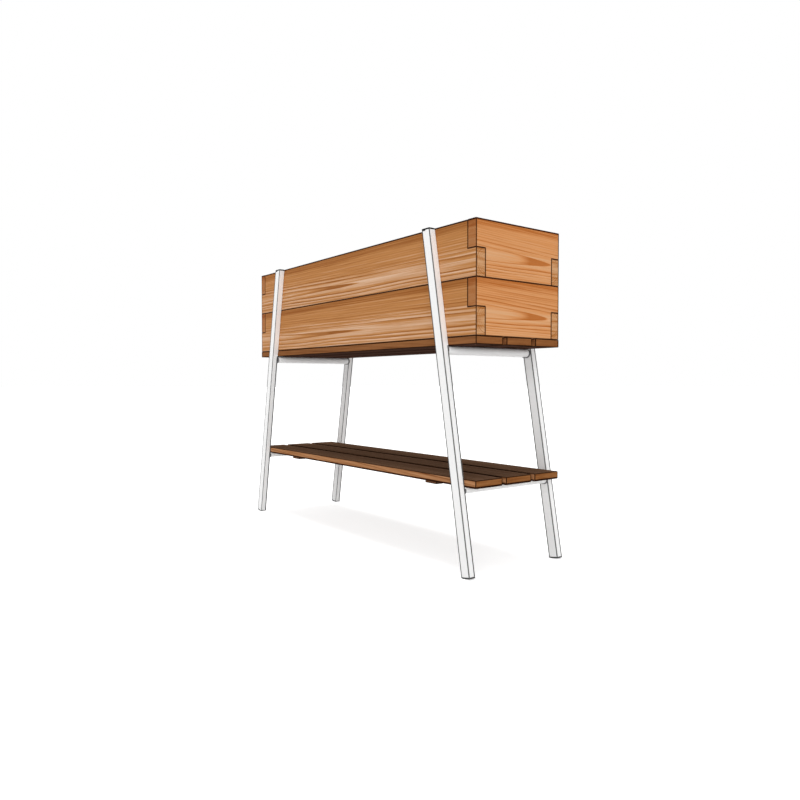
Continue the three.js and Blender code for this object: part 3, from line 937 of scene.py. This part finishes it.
def smooth_faces():
    """A geometry node group that welds a node's triangles and shades them smooth, but for the edges
    that turn by more than an angle."""
    group = bpy.data.node_groups.new("smooth_faces", "GeometryNodeTree")
    group.interface.new_socket("Geometry", in_out="INPUT", socket_type="NodeSocketGeometry")
    group.interface.new_socket("Geometry", in_out="OUTPUT", socket_type="NodeSocketGeometry")
    first = group.nodes.new("NodeGroupInput")
    weld = group.nodes.new("GeometryNodeMergeByDistance")
    weld.inputs["Distance"].default_value = same_point
    soft = group.nodes.new("GeometryNodeSetShadeSmooth")
    sharp = group.nodes.new("GeometryNodeSetShadeSmooth")
    sharp.domain = "EDGE"
    sharp.inputs["Shade Smooth"].default_value = False
    angle = group.nodes.new("GeometryNodeInputMeshEdgeAngle")
    over = group.nodes.new("FunctionNodeCompare")
    over.inputs[1].default_value = math.radians(node_crease)
    last = group.nodes.new("NodeGroupOutput")
    for start, socket in ((first, weld.inputs["Geometry"]), (weld, soft.inputs["Geometry"]),
                          (soft, sharp.inputs["Geometry"]), (angle, over.inputs[0]),
                          (over, sharp.inputs["Selection"]), (sharp, last.inputs[0])):
        group.links.new(start.outputs[0], socket)
    return group


smoothing = smooth_faces()


def dress(name, finish):
    """Gives a CAD node its finish, with its arrises and round faces shaded smooth."""
    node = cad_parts[name]
    for material_slot in node.material_slots:
        material_slot.material = finish
    node.modifiers.new("smooth_faces", "NODES").node_group = smoothing
    weighted = node.modifiers.new("flat_faces_stay_flat", "WEIGHTED_NORMAL")
    weighted.keep_sharp = True


def dress_boards():
    """The four long boards and the four end boards, each with its own seed for the noise."""
    half_length, half_width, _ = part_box("upper_rear_board")[1]
    for index, tier in enumerate(tiers):
        for side, seed in (("front", 0.3), ("rear", 2.4)):
            dress_wood(f"{tier}_{side}_board", "long_board", 1.7 * index + seed, flame=flames[tier],
                       tones=long_board_tones, rim=rim_edge * index,
                       notch=(half_length - board_thickness, 1), corner=(half_length, half_width))
        for side, seed in (("left", 4.1), ("right", 5.2)):
            dress_wood(f"{tier}_{side}_end_board", "end_board", 1.3 * index + seed, along="y",
                       flame=flames["end"], tones=end_board_tones, rim=rim_edge * index,
                       notch=(half_width - board_thickness, -1), corner=(half_width, half_length))


def dress_slats():
    """The slats of the base, worn at the box's corners, and of the shelf, with painted shade between them.
    """
    half_length, half_width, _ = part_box("upper_rear_board")[1]
    row_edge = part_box("shelf_slat_rear")[1].y
    for index, row in enumerate(rows):
        dress_wood(f"base_slat_{row}", "base_slat", 2.1 * index + 7.3, corner=(half_length, half_width))
        dress_wood(f"shelf_slat_{row}", "shelf_slat", 2.1 * index + 9.6, drip=drip_edge, row_edge=row_edge)


def dress_end_frames():
    """The battens, crossbars and legs at each end, with the caps, feet, dowels, bolts and inserts."""
    for side, end in ends.items():
        dress_wood(f"shelf_batten_{side}", "batten", 11 + end, along="y")
        for bar in bars:
            dress(f"{bar}_crossbar_{side}", coat)
        for face in faces:
            dress(f"leg_{face}_{side}", coated_leg(face, side))
            dress(f"leg_cap_{face}_{side}", black_cap)
            dress(f"foot_{face}_{side}", white_foot[side])
            dress_wood(f"corner_dowel_{face}_{side}", "beech", 13 + end + 3 * faces[face], along="y")
            for tier in tiers:
                for fixing in ("bolt", "insert"):
                    dress(f"leg_{fixing}_{tier}_{face}_{side}", zinc)


dress_boards()
dress_slats()
dress_end_frames()
add_fixings()
add_liner()


# --- Stage, light and camera ---

def stage():
    """A pale floor, white to the camera and in reflections, which keeps its shadow there."""
    mesh = bpy.data.meshes.new("floor")
    mesh.from_pydata([(-floor_reach, -floor_reach, 0), (floor_reach, -floor_reach, 0),
                      (floor_reach, floor_reach, 0), (-floor_reach, floor_reach, 0)], [], [(0, 1, 2, 3)])
    floor = bpy.data.objects.new("floor", mesh)
    bpy.context.scene.collection.objects.link(floor)
    look = Look("pale_floor", Roughness=1.0, Specular_IOR_Level=0.0)
    look.shader.inputs["Base Color"].default_value = (floor_grey, floor_grey, floor_grey, 1)
    path = look.add("LightPath")
    seen = look.maths("MAXIMUM", path.outputs["Is Camera Ray"], path.outputs["Is Glossy Ray"])
    look.feed(look.shader.inputs["Emission Strength"], look.times(seen, floor_glow))
    look.shader.inputs["Emission Color"].default_value = (1, 1, 1, 1)
    mesh.materials.append(look.material)


def light_scene():
    """Even light from all round, which the camera and reflections see as white, a soft key lamp from
    the front right and a soft lamp from above."""
    scene = bpy.context.scene
    world = bpy.data.worlds.new("studio")
    scene.world = world
    world.use_nodes = True
    tree = world.node_tree
    path = tree.nodes.new("ShaderNodeLightPath")
    seen = tree.nodes.new("ShaderNodeMath")
    seen.operation = "MAXIMUM"
    strength = tree.nodes.new("ShaderNodeMapRange")
    strength.inputs["To Min"].default_value = room_light
    strength.inputs["To Max"].default_value = room_white
    background = tree.nodes["Background"]
    background.inputs["Color"].default_value = (1, 1, 1, 1)
    for start, end in ((path.outputs["Is Camera Ray"], seen.inputs[0]),
                       (path.outputs["Is Glossy Ray"], seen.inputs[1]),
                       (seen.outputs[0], strength.inputs["Value"]),
                       (strength.outputs[0], background.inputs["Strength"])):
        tree.links.new(start, end)

    for name, (azimuth, elevation, width, power) in lamps.items():
        lamp = bpy.data.lights.new(name, "SUN")
        lamp.angle = math.radians(width)
        lamp.energy = power
        holder = bpy.data.objects.new(name, lamp)
        turn, rise = math.radians(azimuth), math.radians(elevation)
        towards = Vector((math.sin(turn) * math.cos(rise), -math.cos(turn) * math.cos(rise), math.sin(rise)))
        holder.rotation_euler = towards.to_track_quat("Z", "Y").to_euler()
        scene.collection.objects.link(holder)


def set_camera():
    """The camera, turned about Z by its heading and dipped a little below level."""
    scene = bpy.context.scene
    camera = bpy.data.objects.new("camera", bpy.data.cameras.new("camera"))
    camera.location = camera_place
    camera.rotation_euler = (math.pi / 2 - camera_dip, 0, camera_heading)
    camera.data.lens = camera_lens
    camera.data.sensor_width = camera_sensor
    scene.collection.objects.link(camera)
    scene.camera = camera
    scene.view_settings.view_transform = "Standard"


stage()
light_scene()
set_camera()
